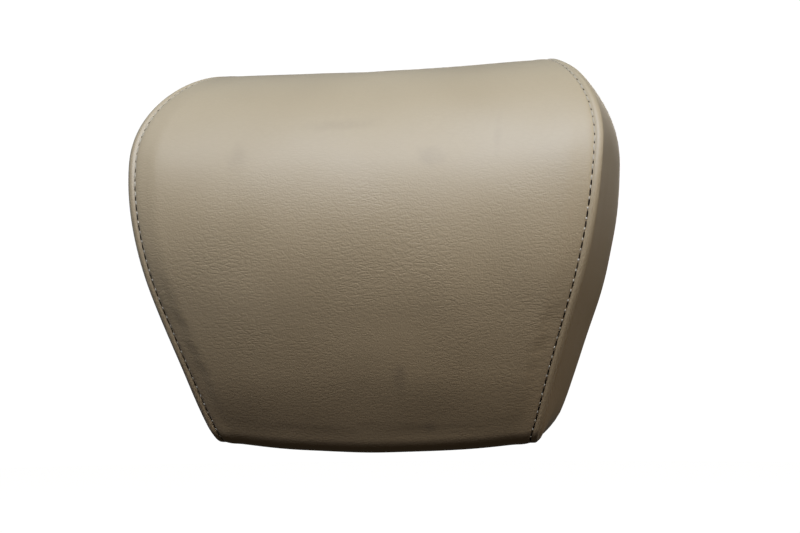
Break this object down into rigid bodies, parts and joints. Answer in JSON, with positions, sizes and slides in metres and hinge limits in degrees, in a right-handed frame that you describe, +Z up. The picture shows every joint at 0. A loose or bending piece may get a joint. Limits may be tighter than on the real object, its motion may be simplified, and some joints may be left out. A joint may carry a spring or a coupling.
{
  "type": "headrest cushion",
  "caption": "Upholstered D-section headrest cushion with sewn leatherette cover, board-backed foam and a friction tilt bracket that bolts to a chair.",
  "frame": {"origin": "centre of the chair bracket's four mounting holes, on the face that meets the chair", "axes": "+Z up, +X across the cushion, -Y the way the padded face looks, +Y into the chair"},
  "size_m": [0.2736, 0.1628, 0.2262],
  "materials": {
    "leatherette": "satin fine-grained polyurethane leatherette, warm beige",
    "thread": "bonded polyester thread, grey beige",
    "foam": "moulded polyurethane foam",
    "wadding": "soft white wadding",
    "plywood": "plain birch plywood",
    "cap_plastic": "textured moulded plastic, dark brown-black",
    "bracket_steel": "satin black powder coat",
    "zinc_steel": "bright zinc plate",
    "spring_steel": "oiled spring steel",
    "black_screw": "black oxide",
    "acetal": "natural acetal"
  },
  "bodies": {
    "chair_mount": {"chair_bracket": "bracket_steel", "hinge_bolt": "zinc_steel", "hinge_nut": "zinc_steel", "disc_springs": "spring_steel", "friction_washers": "acetal", "stop_pin": "zinc_steel", "pin_clip": "spring_steel"},
    "cushion": {"tilt_bracket": "bracket_steel", "spacer_tube": "zinc_steel", "bracket_screws": "zinc_steel", "bracket_washers": "zinc_steel", "t_nuts": "zinc_steel", "backing_board": "plywood", "cover_staples": "spring_steel", "rear_cap": "cap_plastic", "rear_cap_screws": "black_screw", "foam_core": "foam", "comfort_layer": "wadding", "front_panel": "leatherette", "side_panel_right": "leatherette", "side_panel_left": "leatherette", "topstitch_right": "thread", "topstitch_left": "thread"}
  },
  "joints": [
    {"name": "tilt", "type": "hinge", "parent": "chair_mount", "child": "cushion", "pos_m": [0, -0.024, 0], "axis": [1, 0, 0], "range_deg": [-10, 20]}
  ]
}
